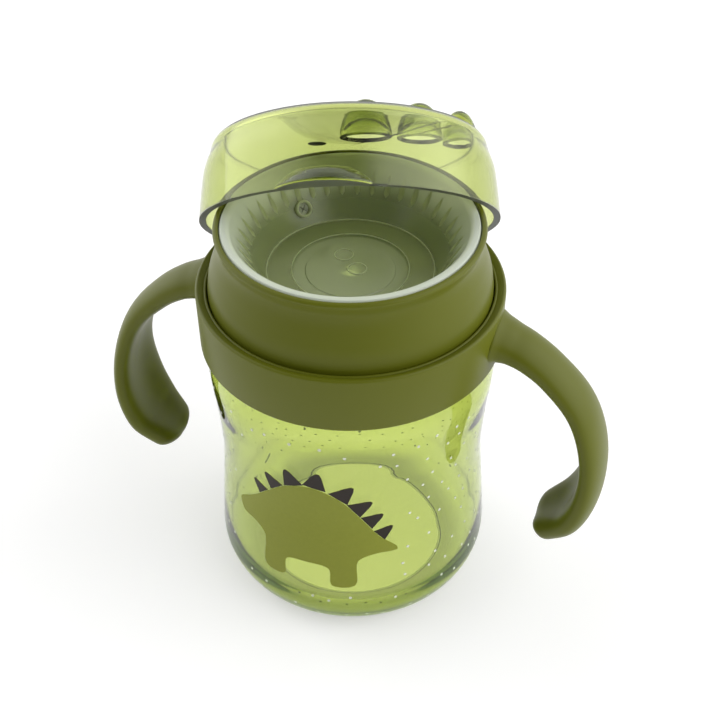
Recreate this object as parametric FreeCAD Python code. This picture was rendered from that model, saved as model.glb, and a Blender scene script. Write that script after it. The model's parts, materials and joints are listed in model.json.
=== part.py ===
import FreeCAD, Part
import math
import os

from FreeCAD import Matrix, Placement, Rotation, Vector

# A 360 degree training cup with two handles, a screwed drinking ring and a loose travel cap.
# Millimetres. The cup stands on z = 0 with its axis on Z, and its front faces -Y.

# Driving dimensions
wall = 2.2                 # cup body wall
floorThickness = 2.5
neckRadius = 31.7          # outside of the neck, between the threads
neckTop = 89.5
shoulderHeight = 75.4
threadPitch = 4.0
threadDepth = 1.2
threadTurns = 1.75
runningGap = 0.3           # between pieces that turn or slide past each other

ringRadius = 38.0          # handle ring, outside
ringBottom = 75.25
ringTop = 90.6
ringBore = 35.2
handleTurn = -19.4         # degrees about Z, from +X to the right handle

skirtRadius = ringBore - runningGap
skirtBottom = 78.0
lipRadius = 32.4
lipHeight = 107.6

dishRadius = 30.8          # silicone valve, outer edge
dishFloorRadius = 20.3
dishFloorHeight = 94.1
gridSlots = 40
slotWidth = 1.7
stemRadius = 2.2            # silicone stem that holds the valve in the grid
stemBore = stemRadius + runningGap
ventAngle = 121.0

capRadius = 38.0           # cap, outside of its rim
capTopRadius = 35.4
capHeight = 21.1
capWall = 1.7
capTopThickness = 1.3
capCorner = 3.9
capTilt = 47.5             # degrees, back from level
capCentre = Vector(0, 18.15, 94.6)
tabTurn = -9.4             # thumb tab, degrees about the cap's axis from its front
tabReach = 4.3
tabHeight = 4.5


def face(elements):
    """A flat face in the XZ plane from a start point and line, arc or curve elements."""
    edges = []
    here = elements[0]
    for kind, points in elements[1:]:
        stops = [Vector(r, 0, z) for r, z in points]
        start = Vector(here[0], 0, here[1])
        if kind == "line":
            for stop in stops:
                edges.append(Part.LineSegment(start, stop).toShape())
                start = stop
        elif kind == "arc":
            edges.append(Part.Arc(start, stops[0], stops[1]).toShape())
        else:
            curve = Part.BSplineCurve()
            curve.interpolate([start] + stops)
            edges.append(curve.toShape())
        here = points[-1]
    first = Vector(elements[0][0], 0, elements[0][1])
    last = Vector(here[0], 0, here[1])
    if first.distanceToPoint(last) > 1e-6:
        edges.append(Part.LineSegment(last, first).toShape())
    return Part.Face(Part.Wire(edges))


def turned(elements):
    """A solid of revolution about Z."""
    return face(elements).revolve(Vector(0, 0, 0), Vector(0, 0, 1), 360)


def threadRidge(rootRadius, crestRadius, startHeight, turns):
    """One helical ridge of trapezoid section, standing from the root to the crest radius."""
    foot = 1.5
    crest = 0.9
    sink = 0.15 if crestRadius > rootRadius else -0.15
    helix = Part.makeHelix(threadPitch, threadPitch * turns, rootRadius)
    section = Part.makePolygon([
        Vector(rootRadius - sink, 0, -foot / 2),
        Vector(crestRadius, 0, -crest / 2),
        Vector(crestRadius, 0, crest / 2),
        Vector(rootRadius - sink, 0, foot / 2),
        Vector(rootRadius - sink, 0, -foot / 2),
    ])
    ridge = Part.Wire(helix.Edges).makePipeShell([section], True, True)
    ridge.translate(Vector(0, 0, startHeight))
    return ridge


def cupBody():
    outer = [
        (28.5, 0),
        ("curve", [(34.0, 2.4), (36.65, 8.0), (36.6, 14.5), (35.4, 30.0), (34.8, 41.0), (35.5, 55.0),
                   (36.5, 66.0), (36.2, 73.0)]),
        ("line", [(36.2, 74.2)]),
        ("arc", [(35.95, 74.8), (35.4, 75.0)]),
        ("line", [(34.9, shoulderHeight), (neckRadius, shoulderHeight), (neckRadius, neckTop - 0.6)]),
        ("arc", [(neckRadius - 0.2, neckTop - 0.2), (neckRadius - 0.6, neckTop)]),
        ("line", [(neckRadius - 2.0, neckTop), (neckRadius - 2.0, 77.0)]),
        ("arc", [(30.6, 74.6), (33.0, 73.2)]),
        ("curve", [(34.3, 66.0), (33.3, 55.0), (34.8 - wall, 41.0), (35.4 - wall, 30.0), (34.4, 14.5),
                   (33.8, 9.0), (31.8, 5.0), (27.5, floorThickness)]),
        ("line", [(0, floorThickness), (0, 0), (24.6, 0), (24.8, 0.5), (25.3, 0.5), (25.5, 0), (28.5, 0)]),
    ]
    ridge = threadRidge(neckRadius, neckRadius + threadDepth, 80.0, threadTurns)
    return turned(outer).fuse(ridge)


def handleRing():
    return turned([
        (37.3, ringBottom),
        ("arc", [(37.75, ringBottom + 0.2), (37.9, ringBottom + 0.6)]),
        ("line", [(ringRadius, ringTop - 0.7)]),
        ("arc", [(ringRadius - 0.2, ringTop - 0.2), (ringRadius - 0.7, ringTop)]),
        ("line", [(35.9, ringTop - 0.6), (35.55, ringTop - 0.35), (ringBore, ringTop - 0.7),
                  (ringBore, 77.6), (neckRadius + 0.6, 77.6),
                  (neckRadius + 0.6, shoulderHeight + runningGap),
                  (35.1, shoulderHeight + runningGap), (36.0, ringBottom + 0.1)]),
    ])


def handle(side):
    """An arched grip that leaves the ring, hangs down and ends in a broad paddle turned inwards."""
    # reach from the axis, height, half thickness, half width, and the path's slope below level
    stations = [
        (36.6, 82.2, 6.2, 8.2, 2),
        (39.0, 81.8, 4.9, 6.8, 8),
        (44.0, 80.0, 3.9, 6.5, 24),
        (51.4, 75.2, 3.5, 6.6, 40),
        (59.6, 65.9, 3.3, 7.5, 58),
        (64.0, 53.5, 3.6, 9.2, 82),
        (64.3, 41.4, 4.2, 10.8, 99),
        (61.2, 31.1, 4.8, 10.7, 120),
        (56.1, 25.6, 4.9, 8.6, 144),
    ]
    tip = stations[-1]
    for turn in (35, 62, 82):
        step = tip[2] * math.sin(math.radians(turn))
        shrink = math.cos(math.radians(turn))
        slope = math.radians(tip[4])
        stations.append((tip[0] + step * math.cos(slope), tip[1] - step * math.sin(slope),
                         tip[2] * shrink, tip[3] * shrink, tip[4]))
    wires = []
    for reach, height, halfThick, halfWide, slope in stations:
        section = Part.Ellipse(Vector(0, 0, 0), halfWide, halfThick).toShape()
        wire = Part.Wire([section])
        # the section's long axis lies across the handle, its short axis square to the path
        wire.Placement = Placement(Vector(reach, 0, height),
                                   Rotation(Vector(0, 1, 0), slope).multiply(
                                       Rotation(Vector(0, 1, 0), Vector(0, 0, 1), Vector(1, 0, 0), "XYZ")))
        wires.append(wire)
    grip = Part.makeLoft(wires, True, False)
    grip = grip.cut(Part.makeCylinder(ringRadius, 60, Vector(0, 0, 50)))
    grip.rotate(Vector(0, 0, 0), Vector(0, 0, 1), handleTurn + (180 if side == "left" else 0))
    return grip


def lidRing():
    shell = turned([
        (skirtRadius, skirtBottom),
        ("line", [(skirtRadius, 90.8)]),
        ("curve", [(34.3, 94.6), (33.1, 98.2), (31.9, 101.8), (31.65, 104.0), (32.05, 105.6),
                   (lipRadius, 106.6)]),
        ("arc", [(32.25, 107.3), (31.8, lipHeight)]),
        ("line", [(31.3, lipHeight), (31.05, 107.3), (31.05, 105.9), (29.8, 105.9), (29.8, 104.5)]),
        ("curve", [(30.3, 102.0), (31.3, 98.6), (32.4, 95.0)]),
        ("line", [(32.4, 93.0), (28.5, 93.0), (28.5, 91.5), (33.2, 91.5), (33.2, skirtBottom)]),
    ])
    ridge = threadRidge(33.2, 33.2 - threadDepth, 80.0 + threadPitch / 2, 1.5)
    return shell.fuse(ridge)


def drinkingGrid():
    cone = turned([
        (29.7, 105.5),
        ("line", [(21.64, 93.2), (21.0, 92.4), (stemBore, 92.4), (stemBore, 91.2), (21.9, 91.2),
                  (22.74, 92.5), (29.7, 103.3)]),
    ])
    slots = []
    for index in range(gridSlots):
        slot = Part.makeBox(3.6, slotWidth, 9, Vector(24.9, -slotWidth / 2, 96))
        slot.rotate(Vector(0, 0, 0), Vector(0, 0, 1), 360 / gridSlots * (index + 0.5))
        slots.append(slot)
    return cone.cut(slots)


def siliconeValve():
    step = 0.7
    dish = turned([
        (dishRadius, 106.4),
        ("arc", [(dishRadius + 0.1, 107.0), (dishRadius - 0.3, lipHeight)]),
        ("line", [(29.6, lipHeight)]),
        ("arc", [(28.85, 107.35), (28.2, 106.6)]),
        ("line", [(dishFloorRadius, dishFloorHeight), (14.4, dishFloorHeight),
                  (13.8, dishFloorHeight - step), (11.1, dishFloorHeight - step),
                  (10.9, dishFloorHeight - step + 0.2),
                  (0, dishFloorHeight - step + 0.2), (0, 88.2), (1.3, 88.2), (stemRadius + 0.9, 89.5),
                  (stemRadius, 89.9), (stemRadius, 92.65), (20.9, 92.65), (29.45, 106.1),
                  (dishRadius - 0.2, 106.15)]),
    ])
    slope = math.degrees(math.atan2(106.6 - dishFloorHeight, 28.2 - dishFloorRadius))
    vent = Part.makeCylinder(2.3, 2.0, Vector(0, 0, -1.2)).cut(Part.makeCylinder(1.45, 1.2, Vector(0, 0, 0)))
    # the boss stands square to the cone, part way up it
    vent.rotate(Vector(0, 0, 0), Vector(0, 1, 0), -slope)
    vent.translate(Vector(22.9, 0, 98.1))
    vent.rotate(Vector(0, 0, 0), Vector(0, 0, 1), ventAngle)
    return dish.fuse(vent)


def lidGasket():
    return turned([
        (29.3, neckTop + 0.2),
        ("line", [(32.8, neckTop + 0.2), (32.8, 91.3), (29.3, 91.3)]),
    ])


def capPlaced(shape):
    shape.rotate(Vector(0, 0, 0), Vector(1, 0, 0), -capTilt)
    shape.translate(capCentre)
    return shape


def ellipsoid(halfWide, halfDeep, height):
    """The upper half of an ellipsoid, standing on z = 0."""
    ball = Part.makeSphere(1.0, Vector(0, 0, 0), Vector(0, 0, 1), 0, 90, 360)
    scale = Matrix()
    scale.scale(halfWide, halfDeep, height)
    return ball.transformGeometry(scale)


# centre across and along the cap, turn in degrees, half width and height of each fin
finPlaces = [
    (4.2, -7.2, -1, 6.6, 8.9),
    (17.8, -5.4, 13, 5.9, 8.4),
    (28.2, -1.4, 50, 4.5, 7.5),
]
finHalfDepth = 4.3
finWall = 0.9
finTipWall = 4.3           # the fins are solid towards their tips


def fin(place, sideWall, tipWall):
    across, along, turn, halfWide, height = place
    body = ellipsoid(halfWide - sideWall, finHalfDepth - sideWall, height - tipWall)
    body.rotate(Vector(0, 0, 0), Vector(0, 0, 1), turn)
    body.translate(Vector(across, along, capHeight))
    return body


def finOpening(place):
    across, along, turn, halfWide, height = place
    outline = Part.Ellipse(Vector(0, 0, 0), halfWide - finWall, finHalfDepth - finWall).toShape()
    opening = Part.Face(Part.Wire([outline])).extrude(Vector(0, 0, 2 * capTopThickness))
    opening.rotate(Vector(0, 0, 0), Vector(0, 0, 1), turn)
    opening.translate(Vector(across, along, capHeight - 1.5 * capTopThickness))
    return opening


def capShell():
    inner = capRadius - capWall
    top = capHeight - capTopThickness
    innerTop = capTopRadius - capWall
    innerCorner = capCorner - capTopThickness
    chord = 0.293                       # how far a round corner's middle lies in from its square corner
    shell = turned([
        (inner, 0),
        ("line", [(capRadius - 0.4, 0), (capRadius, 0.5)]),
        ("curve", [(capRadius - 0.4, 6.5), (capRadius - 1.1, 12.5), (capTopRadius, capHeight - capCorner)]),
        ("arc", [(capTopRadius - chord * capCorner, capHeight - chord * capCorner),
                 (capTopRadius - capCorner, capHeight)]),
        ("line", [(0, capHeight), (0, top), (innerTop - innerCorner, top)]),
        ("arc", [(innerTop - chord * innerCorner, top - chord * innerCorner),
                 (innerTop, top - innerCorner)]),
        ("curve", [(inner - 1.1, 12.5), (inner - 0.4, 6.5), (inner, 0)]),
    ])
    tabRadius = 13.5
    tabCentre = Vector(0, -(capRadius + tabReach - tabRadius), 0)
    tab = Part.makeCone(tabRadius, tabRadius - 3.6, tabHeight, tabCentre)
    tab = tab.cut(Part.makeCylinder(capRadius - 1.0, 30, Vector(0, 0, -5)))
    tab.rotate(Vector(0, 0, 0), Vector(0, 0, 1), tabTurn)
    shell = shell.fuse(tab)
    shell = shell.cut([finOpening(place) for place in finPlaces])
    return capPlaced(shell)


def capFins():
    fins = [fin(place, 0, 0).cut(fin(place, finWall, finTipWall)) for place in finPlaces]
    return capPlaced(Part.makeCompound(fins))


nodes = {
    "cup_body": cupBody,
    "handle_ring": handleRing,
    "handle_left": lambda: handle("left"),
    "handle_right": lambda: handle("right"),
    "lid_ring": lidRing,
    "drinking_grid": drinkingGrid,
    "silicone_valve": siliconeValve,
    "lid_gasket": lidGasket,
    "cap_shell": capShell,
    "cap_fins": capFins,
}

os.makedirs("parts", exist_ok=True)
for name, make in nodes.items():
    shape = make()
    if shape.ShapeType == "Compound" and len(shape.Solids) == 1:
        shape = shape.Solids[0]
    box = shape.BoundBox
    print(f"{name}: {shape.ShapeType}, {len(shape.Solids)} solid(s), valid {shape.isValid()}, "
          f"{shape.Volume / 1000:.2f} cm3, x {box.XMin:.1f} to {box.XMax:.1f}, "
          f"y {box.YMin:.1f} to {box.YMax:.1f}, z {box.ZMin:.1f} to {box.ZMax:.1f}")
    shape.exportStep(f"parts/{name}.step")
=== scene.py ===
import json
import math
import random

import bmesh
import bpy
from mathutils import Matrix, Vector


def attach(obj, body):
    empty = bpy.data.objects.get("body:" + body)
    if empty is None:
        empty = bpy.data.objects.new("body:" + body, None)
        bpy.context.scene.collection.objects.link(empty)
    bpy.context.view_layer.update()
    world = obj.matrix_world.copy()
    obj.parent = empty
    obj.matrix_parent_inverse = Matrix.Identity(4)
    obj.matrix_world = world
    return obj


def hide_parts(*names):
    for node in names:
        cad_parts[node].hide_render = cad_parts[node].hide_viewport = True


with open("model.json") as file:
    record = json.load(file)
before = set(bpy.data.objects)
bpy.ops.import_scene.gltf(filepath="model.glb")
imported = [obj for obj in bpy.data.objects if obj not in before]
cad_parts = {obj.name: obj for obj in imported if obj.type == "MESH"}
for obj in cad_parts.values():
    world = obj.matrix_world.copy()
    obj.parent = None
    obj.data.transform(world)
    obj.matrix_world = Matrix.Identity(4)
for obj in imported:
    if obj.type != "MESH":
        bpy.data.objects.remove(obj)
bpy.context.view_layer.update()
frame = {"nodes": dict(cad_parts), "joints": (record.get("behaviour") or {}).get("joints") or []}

# Training cup with two handles, a drinking ring, a silicone dish and a loose clear cap.
# Profiles are in millimetres as (radius, height) and are scaled to metres when a mesh is made.
mm = 0.001
jointNamed = {joint["name"]: joint for joint in frame["joints"]}
print("frame loaded")


def throughPoints(points, closed=False, steps=8):
    # a smooth line through every point
    count = len(points)
    line = [] if closed else [points[0]]
    for index in range(count if closed else count - 1):
        if closed:
            before, start, end, after = (points[(index + shift) % count] for shift in (-1, 0, 1, 2))
        else:
            start, end = points[index], points[index + 1]
            before = points[index - 1] if index else start * 2 - end
            after = points[index + 2] if index + 2 < count else end * 2 - start
        span = (end - start).length
        startPull = (end - before) * (span / ((start - before).length + span + 1e-9))
        endPull = (after - start) * (span / ((after - end).length + span + 1e-9))
        for step in range(1, steps + 1):
            t = step / steps
            line.append(start * (2 * t ** 3 - 3 * t ** 2 + 1) + startPull * (t ** 3 - 2 * t ** 2 + t)
                        + end * (3 * t ** 2 - 2 * t ** 3) + endPull * (t ** 3 - t ** 2))
    return line


def arcPoints(start, middle, end, steps=6):
    # a round corner from start to end, passing through middle
    a, b = middle - start, end - start
    cross = 2 * (a.x * b.y - a.y * b.x)
    centre = start + Vector((b.y * a.length_squared - a.y * b.length_squared,
                             a.x * b.length_squared - b.x * a.length_squared)) / cross
    spoke = start - centre
    sweep = spoke.angle_signed(end - centre)
    if (spoke.angle_signed(middle - centre) > 0) != (sweep > 0):
        sweep -= math.copysign(2 * math.pi, sweep)
    # angle_signed counts clockwise, Rotation counts the other way
    return [centre + Matrix.Rotation(-sweep * step / steps, 2) @ spoke for step in range(1, steps + 1)]


def outline(start, *moves):
    points = [Vector(start)]
    for kind, *stops in moves:
        stops = [Vector(stop) for stop in stops]
        if kind == "line":
            points += stops
        elif kind == "curve":
            points += throughPoints([points[-1]] + stops)[1:]
        else:
            points += arcPoints(points[-1], *stops)
    return points


def spinOutline(bm, points, closed=True, segments=160):
    verts = [bm.verts.new((r * mm, 0, z * mm)) for r, z in points]
    pairs = list(zip(verts, verts[1:]))
    if closed:
        pairs.append((verts[-1], verts[0]))
    edges = [bm.edges.new(pair) for pair in pairs]
    bmesh.ops.spin(bm, geom=verts + edges, cent=(0, 0, 0), axis=(0, 0, 1), dvec=(0, 0, 0),
                   angle=2 * math.pi, steps=segments, use_merge=True, use_duplicate=False)
    bmesh.ops.remove_doubles(bm, verts=bm.verts, dist=0.002 * mm)
    bmesh.ops.recalc_face_normals(bm, faces=bm.faces)


def addPiece(name, bm, body, material, stands=(), sharp=35):
    mesh = bpy.data.meshes.new(name)
    bm.to_mesh(mesh)
    bm.free()
    return addMesh(name, mesh, body, material, stands, sharp)


def addMesh(name, mesh, body, material, stands=(), sharp=35):
    mesh.materials.clear()
    mesh.materials.append(material)
    mesh.shade_smooth()
    mesh.set_sharp_from_angle(angle=math.radians(sharp))
    piece = bpy.data.objects.new(name, mesh)
    bpy.context.scene.collection.objects.link(piece)
    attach(piece, body)
    if stands:
        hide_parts(*stands)
    return piece


def combine(base, tools, operation):
    # boolean of temporary objects; the tools are used up, and base keeps the result as its mesh
    for tool in tools:
        step = base.modifiers.new(operation, "BOOLEAN")
        step.operation = operation
        step.solver = "EXACT"
        step.object = tool
    shaped = bpy.data.meshes.new_from_object(base.evaluated_get(bpy.context.evaluated_depsgraph_get()))
    base.modifiers.clear()
    base.data = shaped
    for tool in tools:
        bpy.data.objects.remove(tool)
    return base


def blank(bm, name="blank"):
    mesh = bpy.data.meshes.new(name)
    bm.to_mesh(mesh)
    bm.free()
    shape = bpy.data.objects.new(name, mesh)
    bpy.context.scene.collection.objects.link(shape)
    return shape


def shade(red, green, blue):
    # display values from 0 to 255 as linear light
    return tuple((v / 255 / 12.92) if v <= 10 else ((v / 255 + 0.055) / 1.055) ** 2.4
                 for v in (red, green, blue)) + (1.0,)


def startMaterial(name, roughness, ior):
    material = bpy.data.materials.new(name)
    material.use_nodes = True
    shader = material.node_tree.nodes["Principled BSDF"]
    shader.inputs["Roughness"].default_value = roughness
    shader.inputs["IOR"].default_value = ior
    return material, material.node_tree.nodes, material.node_tree.links, shader


def noiseOn(nodes, links, scale, detail=2.0):
    place = nodes.new("ShaderNodeTexCoord")
    noise = nodes.new("ShaderNodeTexNoise")
    noise.inputs["Scale"].default_value = scale
    noise.inputs["Detail"].default_value = detail
    links.new(place.outputs["Object"], noise.inputs["Vector"])
    return noise.outputs["Fac"]


def blendOf(nodes, links, factor, first, second):
    mix = nodes.new("ShaderNodeMix")
    mix.data_type = "RGBA"
    for socket, colour in ((mix.inputs[6], first), (mix.inputs[7], second)):
        if isinstance(colour, bpy.types.NodeSocket):
            links.new(colour, socket)
        else:
            socket.default_value = colour
    links.new(factor, mix.inputs[0])
    return mix.outputs[2]


def fadeAlong(nodes, links, value, low, high, start, end):
    node = nodes.new("ShaderNodeMapRange")
    node.interpolation_type = "SMOOTHSTEP"
    for socket, number in (("From Min", low), ("From Max", high), ("To Min", start), ("To Max", end)):
        node.inputs[socket].default_value = number
    links.new(value, node.inputs["Value"])
    return node.outputs["Result"]


def addBump(nodes, links, shader, height, strength, depth):
    bump = nodes.new("ShaderNodeBump")
    bump.inputs["Strength"].default_value = strength
    bump.inputs["Distance"].default_value = depth * mm
    links.new(height, bump.inputs["Height"])
    links.new(bump.outputs["Normal"], shader.inputs["Normal"])


def clearPlastic(name, tint, deeper, depthColour, density, paintedRimShade=None):
    # glossy moulded plastic, tinted a little at its faces and more through its depth
    material, nodes, links, shader = startMaterial(name, 0.015, 1.49)
    shader.inputs["Transmission Weight"].default_value = 1.0
    colour = blendOf(nodes, links, noiseOn(nodes, links, 60), tint, deeper)
    # the optional rim colour is a painted dark reflection, not the plastic's own tint
    if paintedRimShade:
        colour = paintRimShade(nodes, links, shader, colour, paintedRimShade)
    links.new(colour, shader.inputs["Base Color"])
    addBump(nodes, links, shader, noiseOn(nodes, links, 90, 1.0), 0.04, 0.05)
    depth = nodes.new("ShaderNodeVolumeAbsorption")
    depth.inputs["Color"].default_value = depthColour
    depth.inputs["Density"].default_value = density
    links.new(depth.outputs["Volume"], nodes["Material Output"].inputs["Volume"])
    return material


def paintRimShade(nodes, links, shader, colour, paintedRimShade):
    # painted reflection: where the mesh's edge attribute is 1, the plastic is painted darker, less clear and
    # less glossy, most of all where it is looked at along its face; this dark stands for a dark reflection
    # on the rim, not for thicker plastic
    edge = nodes.new("ShaderNodeAttribute")
    edge.attribute_name = "edge"
    facing = nodes.new("ShaderNodeLayerWeight")
    product = nodes.new("ShaderNodeMath")
    product.operation = "MULTIPLY"
    links.new(edge.outputs["Fac"], product.inputs[0])
    links.new(fadeAlong(nodes, links, facing.outputs["Facing"], 0.35, 0.85, 0.12, 1.0), product.inputs[1])
    dark = product.outputs["Value"]
    links.new(fadeAlong(nodes, links, dark, 0.0, 1.0, 0.015, 0.5), shader.inputs["Roughness"])
    links.new(fadeAlong(nodes, links, dark, 0.0, 1.0, 1.0, 0.35), shader.inputs["Transmission Weight"])
    return blendOf(nodes, links, dark, colour, paintedRimShade)


def markPaintedRimShade(mesh, rimShadeAt):
    # an attribute set from the given function of radius and height, in millimetres: 0 for clear faces, 1
    # where a dark reflection is painted
    edge = mesh.attributes.new("edge", "FLOAT", "POINT")
    for vert, item in zip(mesh.vertices, edge.data):
        item.value = rimShadeAt(vert.co.xy.length / mm, vert.co.z / mm)


def olivePlastic(name, light, dark, roughness):
    # satin moulded plastic with a fine spark-eroded grain
    material, nodes, links, shader = startMaterial(name, roughness, 1.30)
    links.new(blendOf(nodes, links, noiseOn(nodes, links, 45), light, dark), shader.inputs["Base Color"])
    grain = noiseOn(nodes, links, 5200, 3.0)
    addBump(nodes, links, shader, grain, 0.12, 0.03)
    rough = nodes.new("ShaderNodeMapRange")
    rough.inputs["To Min"].default_value = roughness - 0.05
    rough.inputs["To Max"].default_value = roughness + 0.06
    links.new(grain, rough.inputs["Value"])
    links.new(rough.outputs["Result"], shader.inputs["Roughness"])
    return material


milk = {
    "rim": (97.0, 106.5),    # heights between which it turns milky
    "centre": (13.6, 14.4),  # radii between which the milky centre ends
    "centreShare": 0.30,
    "clear": (0.70, 0.22),   # light let through where it is clearest and milkiest
}


def milkySilicone():
    # clear where it is thin, milky towards its thick rim and over its centre
    material, nodes, links, shader = startMaterial("milkySilicone", 0.16, 1.41)
    place = nodes.new("ShaderNodeTexCoord")
    split = nodes.new("ShaderNodeSeparateXYZ")
    links.new(place.outputs["Object"], split.inputs[0])
    flat = nodes.new("ShaderNodeVectorMath")
    flat.operation = "MULTIPLY"
    flat.inputs[1].default_value = (1, 1, 0)
    links.new(place.outputs["Object"], flat.inputs[0])
    radius = nodes.new("ShaderNodeVectorMath")
    radius.operation = "LENGTH"
    links.new(flat.outputs["Vector"], radius.inputs[0])
    rimLow, rimHigh = milk["rim"]
    centreIn, centreOut = milk["centre"]
    rim = fadeAlong(nodes, links, split.outputs["Z"], rimLow * mm, rimHigh * mm, 0.0, 1.0)
    centre = fadeAlong(nodes, links, radius.outputs["Value"], centreIn * mm, centreOut * mm,
                       milk["centreShare"], 0.0)
    cloud = nodes.new("ShaderNodeMath")
    cloud.operation = "MAXIMUM"
    links.new(rim, cloud.inputs[0])
    links.new(centre, cloud.inputs[1])
    clear = fadeAlong(nodes, links, cloud.outputs["Value"], 0.0, 1.0, *milk["clear"])
    links.new(clear, shader.inputs["Transmission Weight"])
    links.new(blendOf(nodes, links, cloud.outputs["Value"], (0.60, 0.68, 0.36, 1), (0.72, 0.78, 0.66, 1)),
              shader.inputs["Base Color"])
    addBump(nodes, links, shader, noiseOn(nodes, links, 1400), 0.08, 0.02)
    return material


def plainSilicone(name, light, dark, clear):
    material, nodes, links, shader = startMaterial(name, 0.3, 1.41)
    shader.inputs["Transmission Weight"].default_value = clear
    links.new(blendOf(nodes, links, noiseOn(nodes, links, 200), light, dark), shader.inputs["Base Color"])
    addBump(nodes, links, shader, noiseOn(nodes, links, 1400), 0.1, 0.02)
    return material


def ink(name, light, dark):
    material, nodes, links, shader = startMaterial(name, 0.45, 1.3)
    speckle = noiseOn(nodes, links, 900, 4.0)
    links.new(blendOf(nodes, links, speckle, light, dark), shader.inputs["Base Color"])
    addBump(nodes, links, shader, noiseOn(nodes, links, 3000), 0.15, 0.02)
    return material


cupPlastic = clearPlastic("cupPlastic", (0.96, 0.97, 0.90, 1), (0.94, 0.96, 0.87, 1),
                          (0.70, 0.775, 0.04, 1), 350)
# the cap's rim gets a painted dark reflection along its top edge and its end face
capPlastic = clearPlastic("capPlastic", (0.93, 0.95, 0.86, 1), (0.91, 0.94, 0.83, 1),
                          (0.66, 0.71, 0.04, 1), 420, paintedRimShade=(0.05, 0.055, 0.045, 1))
oliveSatin = olivePlastic("oliveSatin", (0.118, 0.131, 0.007, 1), (0.109, 0.122, 0.005, 1), 0.38)
siliconeSkin = milkySilicone()
siliconeMilky = plainSilicone("siliconeMilky", (0.66, 0.72, 0.48, 1), (0.60, 0.66, 0.42, 1), 0.35)
# painted light: a less clear silicone for the light that shows through the grid's slots
siliconeSlotLight = plainSilicone("siliconeSlotLight", (0.52, 0.58, 0.32, 1), (0.46, 0.52, 0.27, 1), 0.35)
# painted shade: a near-black olive for the shade in the vent slit and on the gate drop
oliveShade = olivePlastic("oliveShade", (0.02, 0.025, 0.004, 1), (0.015, 0.02, 0.003, 1), 0.5)
inkOlive = ink("inkOlive", shade(136, 142, 44), shade(128, 134, 38))
inkDark = ink("inkDark", (0.022, 0.015, 0.010, 1), (0.017, 0.011, 0.007, 1))
inkWhite = ink("inkWhite", shade(226, 230, 214), shade(206, 212, 196))
print("materials ready")


cupShape = {
    "outerWaist": [(34.0, 2.4), (36.65, 8.0), (36.6, 14.5), (35.4, 30.0), (34.8, 41.0), (35.5, 55.0),
                   (36.5, 66.0), (36.2, 73.0)],
    "footRadius": 28.5,
    "innerWaist": [(34.3, 66.0), (33.3, 55.0), (32.6, 41.0), (33.2, 30.0), (34.4, 14.5), (33.8, 9.0),
                   (31.8, 5.0), (27.5, 2.5)],
    "neckRadius": 31.7,
    "neckTop": 89.5,
    "baseRing": 25.05,
    "thread": (31.7, 32.9, 80.0, 1.75),      # root and crest radius, start height, turns
}


def makeCup():
    neck, top = cupShape["neckRadius"], cupShape["neckTop"]
    ring = cupShape["baseRing"]
    points = outline(
        (0, 0),
        ("line", (ring - 0.45, 0)),
        ("arc", (ring, 0.5), (ring + 0.45, 0)),
        ("line", (cupShape["footRadius"], 0)),
        ("curve", *cupShape["outerWaist"]),
        ("line", (36.2, 74.2)),
        ("arc", (35.95, 74.8), (35.4, 75.0)),
        ("line", (34.9, 75.35), (neck + 0.3, 75.4)),
        ("arc", (neck + 0.09, 75.5), (neck, 75.7)),
        ("line", (neck, top - 0.6)),
        ("arc", (neck - 0.2, top - 0.2), (neck - 0.6, top)),
        ("line", (neck - 2.0, top), (neck - 2.0, 77.0)),
        ("arc", (30.6, 74.6), (33.0, 73.2)),
        ("curve", *cupShape["innerWaist"]),
        ("line", (0, 2.5)),
    )
    bm = bmesh.new()
    spinOutline(bm, points, closed=False, segments=192)
    addPiece("cup_shell", bm, "cup", cupPlastic, ["cup_body"])


def makeThread(name, body, material, slotName, root, crest, start, turns, pitch=4.0):
    # a helical ridge of trapezoid section, swept from root to crest radius
    bm = bmesh.new()
    sink = 0.15 if crest > root else -0.15
    corners = [(root - sink, -0.75), (crest, -0.45), (crest, 0.45), (root - sink, 0.75)]
    verts = [bm.verts.new((r * mm, 0, (start + z) * mm)) for r, z in corners]
    edges = [bm.edges.new((verts[i], verts[(i + 1) % 4])) for i in range(4)]
    steps = int(turns * 72)
    bmesh.ops.spin(bm, geom=verts + edges, cent=(0, 0, 0), axis=(0, 0, 1),
                   dvec=(0, 0, pitch * turns * mm / steps), angle=2 * math.pi * turns, steps=steps,
                   use_merge=False, use_duplicate=False)
    bmesh.ops.holes_fill(bm, edges=bm.edges, sides=4)
    bmesh.ops.recalc_face_normals(bm, faces=bm.faces)
    addPiece(name, bm, body, material)


makeCup()
makeThread("neck_thread", "cup", cupPlastic, "clear_green", *cupShape["thread"])
print("cup body made")


printShape = {
    "turn": -110.0,          # degrees about Z to the motif's middle
    "height": 37.5,
    "wrapRadius": 35.6,      # the flat prints keep their lengths at this radius
    "lift": 0.03,            # mm above the cup's surface
    "thickness": 0.04,
    "back": [(-19.0, 0.5), (-15.5, 3.5), (-11.5, 7.5), (-5.0, 13.0), (2.0, 15.0), (9.0, 11.5), (14.5, 4.5),
             (19.0, -2.0), (23.5, -6.5)],
    "belly": [(23.8, -8.0), (18.0, -8.2), (13.5, -10.5), (12.8, -19.0), (6.8, -19.5), (5.8, -13.5),
              (0.0, -12.6), (-5.6, -13.6), (-6.4, -19.5), (-12.2, -19.2), (-12.6, -9.0), (-16.0, -6.4),
              (-21.0, -6.0), (-22.6, -2.6)],
    "plates": 8,
    "plateHeight": 5.2,
    "plateWidth": 5.4,
    "plateSpan": (0.10, 0.94),   # where the row starts and ends, as shares of the back's length
    # one plate along and up from its foot, as shares of its half width and height
    "plateOutline": [(-1, 0), (-0.42, 0.72), (-0.12, 0.97), (0.16, 1), (0.42, 0.80), (1, 0)],
}


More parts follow.
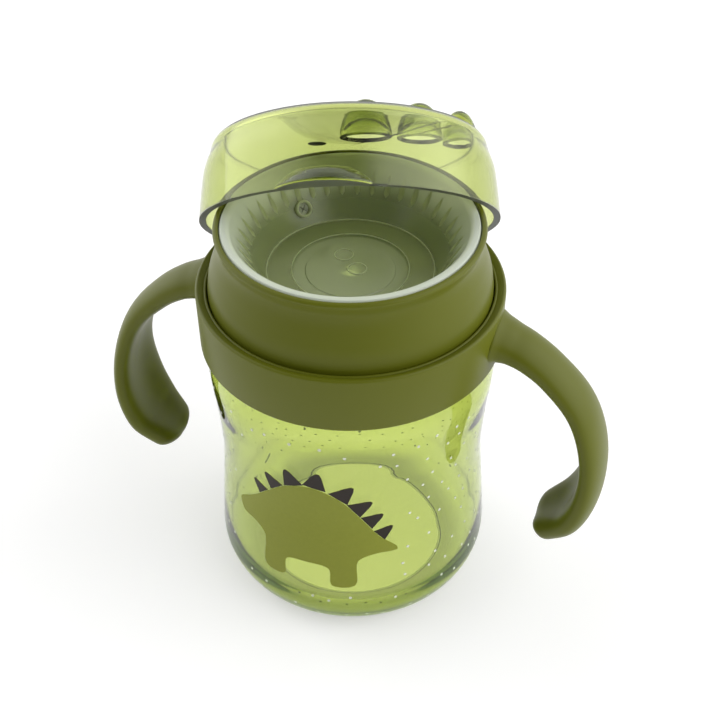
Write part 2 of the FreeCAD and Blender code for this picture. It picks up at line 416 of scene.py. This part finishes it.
def cupRadiusAt(height):
    side = outline((cupShape["footRadius"], 0), ("curve", *cupShape["outerWaist"]))
    for low, high in zip(side, side[1:]):
        if low.y <= height <= high.y:
            share = (height - low.y) / max(high.y - low.y, 1e-6)
            return low.x + (high.x - low.x) * share
    return side[-1].x


def wrapOnCup(bm):
    # flat millimetres (x round the cup, z up) onto the cup's outer surface
    for vert in bm.verts:
        radius = cupRadiusAt(vert.co.z) + printShape["lift"]
        angle = vert.co.x / printShape["wrapRadius"]
        vert.co = Vector((radius * math.cos(angle), radius * math.sin(angle), vert.co.z)) * mm


def fillFlat(bm, points):
    verts = [bm.verts.new((p.x, 0, p.y)) for p in points]
    edges = [bm.edges.new((verts[i], verts[(i + 1) % len(verts)])) for i in range(len(verts))]
    bmesh.ops.triangle_fill(bm, edges=edges, use_beauty=True)


def sliceFlat(bm, step=2.0):
    # cuts so that the flat shape can bend round the cup
    xs = [vert.co.x for vert in bm.verts]
    zs = [vert.co.z for vert in bm.verts]
    for axis, low, high in ((0, min(xs), max(xs)), (2, min(zs), max(zs))):
        normal = Vector((0, 0, 0))
        normal[axis] = 1
        for index in range(1, int((high - low) / step) + 1):
            place = Vector((0, 0, 0))
            place[axis] = low + index * step
            bmesh.ops.bisect_plane(bm, geom=bm.verts[:] + bm.edges[:] + bm.faces[:], plane_co=place,
                                   plane_no=normal, dist=1e-4)


def printPiece(name, shapes, material):
    bm = bmesh.new()
    for points in shapes:
        fillFlat(bm, points)
    sliceFlat(bm)
    bmesh.ops.triangulate(bm, faces=bm.faces)
    wrapOnCup(bm)
    bmesh.ops.recalc_face_normals(bm, faces=bm.faces)
    if bm.faces and sum(face.normal.dot(face.calc_center_median().xy.to_3d()) for face in bm.faces) < 0:
        bmesh.ops.reverse_faces(bm, faces=bm.faces)
    bmesh.ops.solidify(bm, geom=bm.faces[:], thickness=-printShape["thickness"] * mm)
    return addPiece(name, bm, "cup", material, sharp=60)


def makeMotif():
    middle = Vector((math.radians(printShape["turn"]) * printShape["wrapRadius"], printShape["height"]))
    back = [Vector(p) for p in printShape["back"]]
    belly = [Vector(p) for p in printShape["belly"]]
    body = [point + middle for point in throughPoints(back + belly, closed=True, steps=6)]
    printPiece("print_dinosaur", [body], inkOlive)
    ridge = throughPoints(back, steps=12)
    lengths = [0.0]
    for low, high in zip(ridge, ridge[1:]):
        lengths.append(lengths[-1] + (high - low).length)
    plates = []
    firstShare, lastShare = printShape["plateSpan"]
    for index in range(printShape["plates"]):
        share = (index + 0.5) / printShape["plates"]
        target = lengths[-1] * (firstShare + (lastShare - firstShare) * share)
        spot = next(i for i, length in enumerate(lengths) if length >= target)
        along = (ridge[spot + 1] - ridge[spot - 1]).normalized()
        out = Vector((-along.y, along.x))
        size = 0.72 + 0.42 * math.sin(math.pi * (index + 0.7) / (printShape["plates"] + 0.6))
        half = printShape["plateWidth"] * size / 2
        tall = printShape["plateHeight"] * size
        foot = ridge[spot] + middle + out * 0.12
        plates.append([foot + along * half * side + out * tall * up
                       for side, up in printShape["plateOutline"]])
    printPiece("print_plates", plates, inkDark)
    return middle


dotShape = {
    "rows": 11,
    "columns": 38,
    "rowGap": 6.0,
    "lowest": 6.5,
    "highest": 70,
    "radius": 0.42,
    "strayAround": 0.22,     # share of the gap between columns
    "strayUp": 1.6,
    "missing": 0.12,         # share left out
    "clearOfMotif": (25, 22),
    "seed": 7,
}


def makeDots(middle):
    dice = random.Random(dotShape["seed"])
    bm = bmesh.new()
    columns, aside, up = dotShape["columns"], dotShape["strayAround"], dotShape["strayUp"]
    clearWide, clearTall = dotShape["clearOfMotif"]
    for row in range(dotShape["rows"]):
        for column in range(columns):
            around = (column + 0.5 * (row % 2) + dice.uniform(-aside, aside)) / columns
            angle = 2 * math.pi * around - math.pi
            height = dotShape["lowest"] + dotShape["rowGap"] * row + dice.uniform(-up, up)
            away = Vector((angle * printShape["wrapRadius"], height)) - middle
            if abs(away.x) < clearWide and abs(away.y) < clearTall:
                continue
            if dice.random() < dotShape["missing"] or height > dotShape["highest"]:
                continue
            radius = cupRadiusAt(height) + printShape["lift"]
            slope = math.atan2(cupRadiusAt(height + 1) - cupRadiusAt(height - 1), 2)
            turn = Matrix.Rotation(angle, 4, "Z") @ Matrix.Translation((radius * mm, 0, height * mm))
            face = turn @ Matrix.Rotation(math.pi / 2 + slope, 4, "Y")
            bmesh.ops.create_circle(bm, cap_ends=True, segments=10, radius=dotShape["radius"] * mm,
                                   matrix=face)
    bmesh.ops.solidify(bm, geom=bm.faces[:], thickness=printShape["thickness"] * mm)
    bmesh.ops.recalc_face_normals(bm, faces=bm.faces)
    addPiece("print_dots", bm, "cup", inkWhite, sharp=60)


makeDots(makeMotif())
print("prints made")


ringShape = {"radius": 38.0, "bore": 35.2, "bottom": 75.25, "top": 90.6}

handleShape = {
    "turn": -19.4,           # degrees from +X to the right handle
    "path": [(36.4, 82.1), (38.6, 81.8), (41.5, 81.0), (45.5, 79.3), (51.4, 75.1), (59.6, 65.9),
             (64.0, 53.5), (64.3, 41.4), (61.2, 31.1), (56.1, 25.6)],
    # half thickness, half width and how far the inner face is dished, one for each point of the path
    "sizes": [(6.6, 8.6, 0.0), (5.2, 7.3, 0.0), (4.3, 6.7, 0.0), (3.9, 6.6, 0.0), (3.6, 6.7, 0.05),
              (3.4, 7.6, 0.25), (3.55, 9.2, 0.55), (4.15, 10.75, 0.65), (4.8, 10.7, 0.60), (4.9, 8.6, 0.40)],
    "steps": 3,
    "tipTurns": [18, 36, 54, 70, 82],
}


def makeHandleRing():
    radius, bore = ringShape["radius"], ringShape["bore"]
    bottom, top = ringShape["bottom"], ringShape["top"]
    points = outline(
        (37.3, bottom),
        ("arc", (37.75, bottom + 0.2), (37.9, bottom + 0.6)),
        ("line", (radius, top - 0.7)),
        ("arc", (radius - 0.2, top - 0.2), (radius - 0.7, top)),
        ("line", (35.9, top - 0.6)),
        ("arc", (35.55, top - 0.42), (bore, top - 0.8)),
        ("line", (bore, 77.6), (32.3, 77.6), (32.3, 75.7), (35.1, 75.7), (36.0, bottom + 0.1)),
    )
    bm = bmesh.new()
    spinOutline(bm, points)
    addPiece("grip_ring", bm, "handles", oliveSatin, ["handle_ring"])


def makeHandle(side):
    path = throughPoints([Vector(point) for point in handleShape["path"]], steps=handleShape["steps"])
    sizes = throughPoints([Vector(size) for size in handleShape["sizes"]], steps=handleShape["steps"])
    last = len(path) - 1
    heading = [(path[min(i + 1, last)] - path[max(i - 1, 0)]).normalized() for i in range(last + 1)]
    halfThick, halfWide, hollow = sizes[-1]
    for turn in handleShape["tipTurns"]:
        # the tip rounds off like the end of an egg
        path.append(path[last] + heading[-1] * halfThick * math.sin(math.radians(turn)))
        heading.append(heading[-1])
    for turn in handleShape["tipTurns"]:
        shrink = math.cos(math.radians(turn))
        sizes.append(Vector((halfThick * shrink, halfWide * shrink, hollow)))
    bm = bmesh.new()
    rings = []
    for point, along, (thickness, width, dish) in zip(path, heading, sizes):
        made = bmesh.ops.create_circle(bm, segments=32, radius=1.0)["verts"]
        outward = Vector((-along.y, 0, along.x))
        for vert in made:
            across, thick = vert.co.x, vert.co.y
            if thick < 0:
                # the inner face is dished, deepest along its middle
                thick = -abs(thick) ** (1 - 0.35 * dish) * (1 - dish * (1 - across * across) ** 1.5)
            vert.co = (Vector((point.x, across * width, point.y)) + outward * thick * thickness) * mm
        rings.append(made)
    for pair in zip(rings, rings[1:]):
        edges = {edge for ring in pair for vert in ring for edge in vert.link_edges}
        loops = [edge for edge in edges if any(all(vert in ring for vert in edge.verts) for ring in pair)]
        bmesh.ops.bridge_loops(bm, edges=loops)
    for ring in (rings[0], rings[-1]):
        bmesh.ops.contextual_create(bm, geom=ring)
    bmesh.ops.recalc_face_normals(bm, faces=bm.faces)
    turn = handleShape["turn"] + (180 if side == "left" else 0)
    bmesh.ops.rotate(bm, verts=bm.verts, cent=(0, 0, 0), matrix=Matrix.Rotation(math.radians(turn), 3, "Z"))
    piece = addPiece("grip_" + side, bm, "handles", oliveSatin, ["handle_" + side],
                     sharp=80)
    smooth = piece.modifiers.new("smooth", "SUBSURF")
    smooth.levels = smooth.render_levels = 1


makeHandleRing()
for side in ("left", "right"):
    makeHandle(side)
print("handles made")


lidShape = {
    "skirtRadius": 34.9,
    "shoulder": 90.8,
    "neck": [(34.3, 94.6), (33.1, 98.2), (31.9, 101.8), (31.65, 104.0), (32.05, 105.6), (32.4, 106.6)],
    "thread": (33.2, 32.0, 82.0, 1.5),       # root and crest radius, start height, turns
}


def makeLidRing():
    skirt = lidShape["skirtRadius"]
    points = outline(
        (skirt, 78.3),
        ("line", (skirt, lidShape["shoulder"])),
        ("curve", *lidShape["neck"]),
        ("arc", (32.25, 107.3), (31.8, 107.6)),
        ("line", (31.3, 107.6), (31.05, 107.3), (31.05, 105.9), (29.8, 105.9), (29.8, 104.5)),
        ("curve", (30.3, 102.0), (31.3, 98.6), (32.4, 95.0)),
        ("line", (32.4, 93.0), (28.5, 93.0), (28.5, 91.5), (33.2, 91.5), (33.2, 78.3)),
        ("arc", (33.45, 78.05), (33.7, 78.0)),
        ("line", (34.6, 78.0)),
    )
    bm = bmesh.new()
    spinOutline(bm, points)
    addPiece("drinking_ring", bm, "lid", oliveSatin, ["lid_ring"])


makeLidRing()
makeThread("lid_thread", "lid", oliveSatin, "olive_plastic", *lidShape["thread"])
for name in ("drinking_grid", "lid_gasket"):
    frame["nodes"][name].data.materials.clear()
    frame["nodes"][name].data.materials.append(oliveSatin if name == "drinking_grid" else siliconeSkin)
print("lid made")


dishShape = {
    "floor": 94.1,
    "floorRadius": 20.3,
    "coneTop": (28.2, 106.6),
    "step": 0.7,
    "ventTurn": 121.0,
    "vent": (22.9, 98.1),
    "marks": [(-1.6, 6.0), (1.6, 0.1)],
    "markRadius": 2.3,
    "slotLights": 40,
    "slotLight": (25.3, 102.1),    # radius and height of a painted slot light's middle
    "slotLightHalf": (3.0, 0.72, 0.12),
    "slit": (1.9, 0.16, 0.3),
}


def makeRing(bm, radius, wire, matrix, segments=48):
    # a low round bead, as moulded on the dish
    profile = Matrix.Translation((radius * mm, 0, 0)) @ Matrix.Rotation(math.pi / 2, 4, "X")
    before = set(bm.verts)
    made = bmesh.ops.create_circle(bm, segments=10, radius=wire * mm, matrix=profile)["verts"]
    edges = {edge for vert in made for edge in vert.link_edges}
    bmesh.ops.spin(bm, geom=made + list(edges), cent=(0, 0, 0), axis=(0, 0, 1), dvec=(0, 0, 0),
                   angle=2 * math.pi, steps=segments, use_merge=True, use_duplicate=False)
    bmesh.ops.transform(bm, matrix=matrix, verts=[vert for vert in bm.verts if vert not in before])


def conePlace(turn, radius, height):
    # a spot on the dish's cone, with local z square to it and local x pointing down the slope
    topRadius, top = dishShape["coneTop"]
    lean = math.atan2(top - dishShape["floor"], topRadius - dishShape["floorRadius"])
    return (Matrix.Rotation(math.radians(turn), 4, "Z")
            @ Matrix.Translation((radius * mm, 0, height * mm)) @ Matrix.Rotation(-lean, 4, "Y"))


def makeDish():
    floor, step = dishShape["floor"], dishShape["step"]
    edge = dishShape["floorRadius"]
    points = outline(
        (30.8, 106.4),
        ("arc", (30.9, 107.0), (30.5, 107.6)),
        ("line", (29.6, 107.6)),
        ("arc", (28.85, 107.35), dishShape["coneTop"]),
        ("line", (edge + 0.45, floor + 0.7)),
        ("arc", (edge + 0.1, floor + 0.2), (edge - 0.5, floor)),
        ("line", (14.5, floor)),
        ("arc", (14.25, floor - 0.08), (14.15, floor - 0.3)),
        ("line", (14.05, floor - step + 0.1), (13.8, floor - step), (11.1, floor - step),
         (10.9, floor - step + 0.2), (0, floor - step + 0.2)),
    )
    under = outline(
        (0, 88.2),
        ("line", (1.3, 88.2), (3.1, 89.5), (2.2, 89.9), (2.2, 92.65), (20.9, 92.65), (29.45, 106.1),
         (30.6, 106.15)),
    )
    bm = bmesh.new()
    spinOutline(bm, under + points, closed=False)
    addPiece("silicone_dish", bm, "valve", siliconeSkin, ["silicone_valve"])
    bm = bmesh.new()
    for x, y in dishShape["marks"]:
        makeRing(bm, dishShape["markRadius"], 0.17,
                 Matrix.Translation((x * mm, y * mm, (floor - step + 0.2) * mm)))
    makeRing(bm, 14.3, 0.14, Matrix.Translation((0, 0, (floor - 0.05) * mm)), 128)
    makeRing(bm, edge + 0.1, 0.16, Matrix.Translation((0, 0, (floor + 0.2) * mm)), 128)
    bmesh.ops.recalc_face_normals(bm, faces=bm.faces)
    addPiece("dish_beads", bm, "valve", siliconeMilky)


def makeVentBoss():
    # a low collar round a domed plug with a cross slit
    bm = bmesh.new()
    spinOutline(bm, outline((1.5, -0.4), ("line", (1.5, 0.55)), ("arc", (1.9, 0.95), (2.3, 0.55)),
                            ("line", (2.3, -0.4))), segments=48)
    bmesh.ops.transform(bm, matrix=conePlace(dishShape["ventTurn"], *dishShape["vent"]), verts=bm.verts)
    addPiece("vent_collar", bm, "valve", siliconeMilky)
    bm = bmesh.new()
    # painted shade: two near-black boxes fill the cross slit, standing for the shade inside it
    for turn in (45, 135):
        made = bmesh.ops.create_cube(bm, size=1.0)["verts"]
        bmesh.ops.scale(bm, vec=Vector(dishShape["slit"]) * mm, verts=made)
        bmesh.ops.rotate(bm, verts=made, cent=(0, 0, 0), matrix=Matrix.Rotation(math.radians(turn), 3, "Z"))
    bmesh.ops.transform(bm, matrix=conePlace(dishShape["ventTurn"], *dishShape["vent"]), verts=bm.verts)
    addPiece("vent_slit_shade", bm, "valve", oliveShade)


def makeSlotLight():
    # painted light: short tapered patches of less clear silicone on the dish, standing for the light that
    # shows through the grid's slots beneath
    bm = bmesh.new()
    count = dishShape["slotLights"]
    long, wide, thick = dishShape["slotLightHalf"]
    for index in range(count):
        made = bmesh.ops.create_uvsphere(bm, u_segments=8, v_segments=6, radius=1.0)["verts"]
        for vert in made:
            narrow = 1.0 - 0.45 * vert.co.x
            vert.co = Vector((vert.co.x * long, vert.co.y * wide * narrow, vert.co.z * thick)) * mm
        turn = 360 / count * (index + 0.5)
        bmesh.ops.transform(bm, matrix=conePlace(turn, *dishShape["slotLight"]), verts=made)
    addPiece("dish_slot_light", bm, "valve", siliconeSlotLight, sharp=80)


makeDish()
makeVentBoss()
makeSlotLight()
print("dish made")


capShape = {
    "rimRadius": 37.98,
    "topRadius": 35.38,
    "height": 21.1,
    "wall": 1.7,
    "topThickness": 1.3,
    "corner": 3.9,
    "tabTurn": -9.4,
    "tabReach": 4.3,
    "tabHeight": 4.5,
    "tabRadius": 13.5,
    # centre across and along the cap, turn in degrees, half width and height
    "fins": [(4.2, -7.2, -1, 6.6, 8.9), (17.8, -5.4, 13, 5.9, 8.4), (28.2, -1.4, 50, 4.5, 7.5)],
    "finHalfDepth": 4.3,
    "finWall": 0.9,
    "finTipWall": 4.3,
    "finRoot": 0.6,          # how far a fin reaches down into the cap's top
    "finPast": 0.9,          # how far its hollow passes the inner face
    "shadeBandTall": 1.5,         # height of the band round the top where a dark reflection is painted
    "shadeBandWide": 3.7,
    "gateMark": (-8.1, -3.3),
    "gateSize": (2.4, 1.5, 0.4),
    "centre": (0, 18.15, 94.6),
}


def capOutline(inset, topInset, bottom):
    rim = capShape["rimRadius"] - inset
    crown = capShape["topRadius"] - inset
    top = capShape["height"] - topInset
    corner = capShape["corner"] - topInset
    chord = 0.293 * corner
    return outline(
        (0, bottom),
        ("line", (rim, bottom), (rim, 0.5)),
        ("curve", (rim - 0.4, 6.5), (rim - 1.1, 12.5), (crown, top - corner)),
        ("arc", (crown - chord, top - chord), (crown - corner, top)),
        ("line", (0, top)),
    )


def finBlank(place, sideWall, tipWall, depth):
    # half an ellipsoid on the cap's top, carried straight down by depth
    across, along, turn, halfWide, height = place
    bm = bmesh.new()
    bmesh.ops.create_uvsphere(bm, u_segments=64, v_segments=32, radius=1.0)
    bmesh.ops.bisect_plane(bm, geom=bm.verts[:] + bm.edges[:] + bm.faces[:], plane_co=(0, 0, 0),
                           plane_no=(0, 0, -1), clear_outer=True, dist=1e-5)
    bmesh.ops.scale(bm, vec=(halfWide - sideWall, capShape["finHalfDepth"] - sideWall, height - tipWall),
                    verts=bm.verts)
    rim = [edge for edge in bm.edges if edge.is_boundary]
    foot = bmesh.ops.extrude_edge_only(bm, edges=rim)["geom"]
    lowered = [item for item in foot if isinstance(item, bmesh.types.BMVert)]
    bmesh.ops.translate(bm, vec=(0, 0, -depth), verts=lowered)
    bmesh.ops.contextual_create(bm, geom=lowered)
    bmesh.ops.rotate(bm, verts=bm.verts, cent=(0, 0, 0), matrix=Matrix.Rotation(math.radians(turn), 3, "Z"))
    bmesh.ops.translate(bm, vec=(across, along, capShape["height"]), verts=bm.verts)
    bmesh.ops.scale(bm, vec=(mm, mm, mm), verts=bm.verts)
    bmesh.ops.recalc_face_normals(bm, faces=bm.faces)
    return blank(bm, "fin")


def capRimShade(radius, height):
    # where a dark reflection is painted: the rim's end face, and the upper part of the rounded corner round
    # the top
    if height < 0.1:
        return float(radius > capShape["rimRadius"] - capShape["wall"] - 0.1)
    below, within = capShape["height"] - height, capShape["topRadius"] - radius
    return float(below < capShape["shadeBandTall"] and within < capShape["shadeBandWide"])


def spunBlank(points, closed=False, segments=160):
    bm = bmesh.new()
    spinOutline(bm, points, closed=closed, segments=segments)
    return blank(bm)


def makeCap():
    outer = spunBlank(capOutline(0, 0, 0))
    inner = spunBlank(capOutline(capShape["wall"], capShape["topThickness"], -1))
    radius, tall = capShape["tabRadius"], capShape["tabHeight"]
    tab = spunBlank(outline(
        (0, 0), ("line", (radius - 0.5, 0)), ("arc", (radius - 0.1, 0.15), (radius, 0.6)),
        ("curve", (radius - 1.2, 2.2), (radius - 3.2, tall - 0.4), (radius - 5.0, tall)),
        ("line", (0, tall))))
    centre = capShape["rimRadius"] + capShape["tabReach"] - radius
    turn = Matrix.Rotation(math.radians(capShape["tabTurn"]), 4, "Z")
    tab.data.transform(turn @ Matrix.Translation((0, -centre * mm, 0)))
    fins = [finBlank(place, 0, 0, capShape["finRoot"]) for place in capShape["fins"]]
    cap = combine(outer, [tab] + fins, "UNION")
    sideWall, tipWall = capShape["finWall"], capShape["finTipWall"]
    through = capShape["topThickness"] + capShape["finPast"]
    hollows = [finBlank(place, sideWall, tipWall, through) for place in capShape["fins"]]
    cap = combine(cap, [inner] + hollows, "DIFFERENCE")
    mesh = cap.data
    bpy.data.objects.remove(cap)
    # mark where the dark reflection is painted on the cap
    markPaintedRimShade(mesh, capRimShade)
    mesh.transform(capPlace())
    addMesh("clear_cap", mesh, "cap", capPlastic, ["cap_shell", "cap_fins"], 30)


def capPlace():
    # the cap's own frame: its rim's centre, with z along the way it lifts off
    up = Vector(jointNamed["cap_lift_off"]["axis"])
    tilt = Matrix.Rotation(-math.atan2(up.y, up.z), 4, "X")
    return Matrix.Translation(Vector(capShape["centre"]) * mm) @ tilt


def makeGateMark():
    # the drop left where the plastic was let into the mould, on the cap's inner face; its near-black colour
    # is painted shade, not the cap's clear plastic
    bm = bmesh.new()
    bmesh.ops.create_uvsphere(bm, u_segments=24, v_segments=12, radius=1.0)
    bmesh.ops.scale(bm, vec=Vector(capShape["gateSize"]) * mm, verts=bm.verts)
    x, y = capShape["gateMark"]
    level = capShape["height"] - capShape["topThickness"]
    spot = capPlace() @ Matrix.Translation(Vector((x, y, level)) * mm)
    bmesh.ops.transform(bm, matrix=spot, verts=bm.verts)
    addPiece("cap_gate", bm, "cap", oliveShade, sharp=80)


makeCap()
makeGateMark()
print("cap made")


studio = {
    "floorSize": 9.0,
    "floorGlow": 0.44,       # a lit table top
    "cameraPlace": (0, -0.2404, 0.2706),
    "cameraDown": 40.61,
    "cameraTurn": 0.52,
    "cameraRoll": 0.31,
    "lens": 61.27,
}


def makeFloor():
    bm = bmesh.new()
    bmesh.ops.create_grid(bm, x_segments=1, y_segments=1, size=studio["floorSize"])
    mesh = bpy.data.meshes.new("studio_floor")
    bm.to_mesh(mesh)
    bm.free()
    material, nodes, links, shader = startMaterial("floorPaper", 0.9, 1.3)
    shader.inputs["Specular IOR Level"].default_value = 0.0
    links.new(blendOf(nodes, links, noiseOn(nodes, links, 8), (0.67, 0.67, 0.67, 1), (0.65, 0.65, 0.65, 1)),
              shader.inputs["Base Color"])
    shader.inputs["Emission Color"].default_value = (1, 1, 1, 1)
    shader.inputs["Emission Strength"].default_value = studio["floorGlow"]
    mesh.materials.append(material)
    floor = bpy.data.objects.new("studio_floor", mesh)
    bpy.context.scene.collection.objects.link(floor)


# soft light from all round: dim towards the camera, bright behind, with a broad glow at each side
light = {
    "front": 0.11,
    "back": 1.25,
    "overhead": 0.35,        # share left straight above
    "turn": (-0.35, 0.45),   # how far round from the front it starts and stops brightening
    "high": (0.5, 0.95),     # how far up it starts and stops dimming
    "backdrop": 1.0,
    "glows": [
        # direction, how far it spreads (cosine at its edge and at its full strength), strength
        ((0.85, -0.25, 0.55), 0.62, 0.98, 2.3),
        ((-0.95, 0.25, 0.45), 0.60, 0.98, 1.2),
    ],
}


def makeWorld():
    world = bpy.data.worlds.new("studio")
    bpy.context.scene.world = world
    world.use_nodes = True
    nodes, links = world.node_tree.nodes, world.node_tree.links
    place = nodes.new("ShaderNodeTexCoord")
    split = nodes.new("ShaderNodeSeparateXYZ")
    links.new(place.outputs["Generated"], split.inputs[0])
    total = fadeAlong(nodes, links, split.outputs["Y"], *light["turn"], light["front"], light["back"])
    dimmed = nodes.new("ShaderNodeMath")
    dimmed.operation = "MULTIPLY"
    links.new(total, dimmed.inputs[0])
    above = fadeAlong(nodes, links, split.outputs["Z"], *light["high"], 1.0, light["overhead"])
    links.new(above, dimmed.inputs[1])
    total = dimmed.outputs["Value"]
    for direction, edge, full, strength in light["glows"]:
        facing = nodes.new("ShaderNodeVectorMath")
        facing.operation = "DOT_PRODUCT"
        facing.inputs[1].default_value = Vector(direction).normalized()
        links.new(place.outputs["Generated"], facing.inputs[0])
        added = nodes.new("ShaderNodeMath")
        links.new(total, added.inputs[0])
        glow = fadeAlong(nodes, links, facing.outputs["Value"], edge, full, 0.0, strength)
        links.new(glow, added.inputs[1])
        total = added.outputs["Value"]
    # the backdrop itself shows plain and pale
    seen = nodes.new("ShaderNodeLightPath")
    backdrop = nodes.new("ShaderNodeMix")
    links.new(seen.outputs["Is Camera Ray"], backdrop.inputs["Factor"])
    links.new(total, backdrop.inputs["A"])
    backdrop.inputs["B"].default_value = light["backdrop"]
    links.new(backdrop.outputs["Result"], nodes["Background"].inputs["Strength"])
    nodes["Background"].inputs["Color"].default_value = (1, 1, 1, 1)


def makeCamera():
    lens = bpy.data.cameras.new("camera")
    lens.lens = studio["lens"]
    lens.sensor_width = 36
    lens.clip_start = 0.01
    camera = bpy.data.objects.new("camera", lens)
    turn = Matrix.Rotation(math.radians(-studio["cameraTurn"]), 4, "Z")
    pitch = Matrix.Rotation(math.radians(90 - studio["cameraDown"]), 4, "X")
    roll = Matrix.Rotation(math.radians(-studio["cameraRoll"]), 4, "Z")
    camera.matrix_world = Matrix.Translation(studio["cameraPlace"]) @ turn @ pitch @ roll
    bpy.context.scene.collection.objects.link(camera)
    bpy.context.scene.camera = camera


makeFloor()
makeWorld()
makeCamera()
bpy.context.scene.view_settings.view_transform = "Standard"
print("studio ready")
